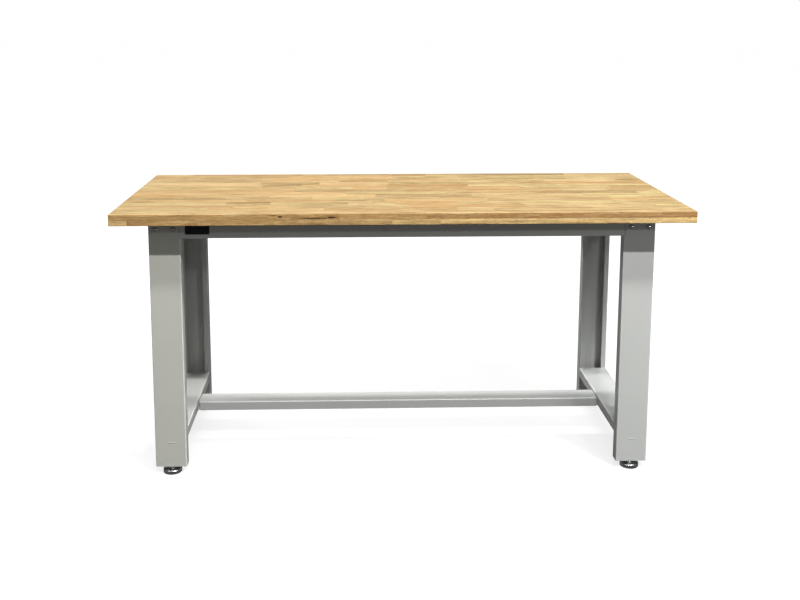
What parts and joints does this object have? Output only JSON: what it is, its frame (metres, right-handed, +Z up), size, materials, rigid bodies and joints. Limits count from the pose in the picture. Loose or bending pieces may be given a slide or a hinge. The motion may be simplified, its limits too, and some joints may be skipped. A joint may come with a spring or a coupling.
{
  "type": "steel workbench",
  "caption": "Workbench with a folded grey steel frame, a laminated solid-wood top, a low stretcher between side rails and screw-adjustable levelling feet.",
  "frame": {"origin": "centre of the bounding box on the floor plane, with the feet at their rest height", "axes": "+X along the bench to the right as seen from the front, +Y from the front to the back, +Z up"},
  "size_m": [1.8, 0.75, 0.8756],
  "materials": {
    "wood": "oiled, satin",
    "painted_steel": "light grey powder coat",
    "chrome": "bright plated",
    "zinc": "zinc plated",
    "black_plate": "satin black, blank"
  },
  "bodies": {
    "bench": {"top_upper_layer": "wood", "top_lower_layer": "wood", "leg_front_left": "painted_steel", "leg_front_right": "painted_steel", "leg_rear_left": "painted_steel", "leg_rear_right": "painted_steel", "apron_front": "painted_steel", "apron_rear": "painted_steel", "stretcher": "painted_steel", "rail_lower_left": "painted_steel", "rail_upper_left": "painted_steel", "stretcher_bracket_left": "painted_steel", "rail_lower_right": "painted_steel", "rail_upper_right": "painted_steel", "stretcher_bracket_right": "painted_steel", "foot_plate_front_left": "painted_steel", "foot_plate_front_right": "painted_steel", "foot_plate_rear_left": "painted_steel", "foot_plate_rear_right": "painted_steel", "apron_screw_front_left_outer": "zinc", "apron_nut_front_left_outer": "zinc", "apron_screw_front_left_inner": "zinc", "apron_nut_front_left_inner": "zinc", "apron_screw_front_right_outer": "zinc", "apron_nut_front_right_outer": "zinc", "apron_screw_front_right_inner": "zinc", "apron_nut_front_right_inner": "zinc", "apron_screw_rear_left_outer": "zinc", "apron_nut_rear_left_outer": "zinc", "apron_screw_rear_left_inner": "zinc", "apron_nut_rear_left_inner": "zinc", "apron_screw_rear_right_outer": "zinc", "apron_nut_rear_right_outer": "zinc", "apron_screw_rear_right_inner": "zinc", "apron_nut_rear_right_inner": "zinc", "stretcher_bolt_left_front": "zinc", "top_screw_apron_front_left": "zinc", "top_screw_rail_front_left": "zinc", "stretcher_bolt_left_rear": "zinc", "top_screw_apron_rear_left": "zinc", "top_screw_rail_rear_left": "zinc", "stretcher_bolt_right_front": "zinc", "top_screw_apron_front_right": "zinc", "top_screw_rail_front_right": "zinc", "stretcher_bolt_right_rear": "zinc", "top_screw_apron_rear_right": "zinc", "top_screw_rail_rear_right": "zinc", "name_plate": "black_plate"},
    "pad_front_left": {"foot_pad_front_left": "chrome"},
    "stem_front_left": {"foot_stem_front_left": "zinc"},
    "pad_front_right": {"foot_pad_front_right": "chrome"},
    "stem_front_right": {"foot_stem_front_right": "zinc"},
    "pad_rear_left": {"foot_pad_rear_left": "chrome"},
    "stem_rear_left": {"foot_stem_rear_left": "zinc"},
    "pad_rear_right": {"foot_pad_rear_right": "chrome"},
    "stem_rear_right": {"foot_stem_rear_right": "zinc"}
  },
  "joints": [
    {"name": "level_front_left", "type": "slide", "parent": "bench", "child": "pad_front_left", "axis": [0, 0, -1], "range_m": [-0.007, 0.025]},
    {"name": "turn_front_left", "type": "hinge", "parent": "pad_front_left", "child": "stem_front_left", "pos_m": [-0.75, -0.265, 0], "axis": [0, 0, -1], "range_deg": [-1441, 5144]},
    {"name": "level_front_right", "type": "slide", "parent": "bench", "child": "pad_front_right", "axis": [0, 0, -1], "range_m": [-0.007, 0.025]},
    {"name": "turn_front_right", "type": "hinge", "parent": "pad_front_right", "child": "stem_front_right", "pos_m": [0.75, -0.265, 0], "axis": [0, 0, -1], "range_deg": [-1441, 5144]},
    {"name": "level_rear_left", "type": "slide", "parent": "bench", "child": "pad_rear_left", "axis": [0, 0, -1], "range_m": [-0.007, 0.025]},
    {"name": "turn_rear_left", "type": "hinge", "parent": "pad_rear_left", "child": "stem_rear_left", "pos_m": [-0.75, 0.265, 0], "axis": [0, 0, -1], "range_deg": [-1441, 5144]},
    {"name": "level_rear_right", "type": "slide", "parent": "bench", "child": "pad_rear_right", "axis": [0, 0, -1], "range_m": [-0.007, 0.025]},
    {"name": "turn_rear_right", "type": "hinge", "parent": "pad_rear_right", "child": "stem_rear_right", "pos_m": [0.75, 0.265, 0], "axis": [0, 0, -1], "range_deg": [-1441, 5144]}
  ],
  "couplings": [
    {"joint": "turn_front_left", "follows": "level_front_left", "rad_per_m": 3590.4},
    {"joint": "turn_front_right", "follows": "level_front_right", "rad_per_m": 3590.4},
    {"joint": "turn_rear_left", "follows": "level_rear_left", "rad_per_m": 3590.4},
    {"joint": "turn_rear_right", "follows": "level_rear_right", "rad_per_m": 3590.4}
  ]
}
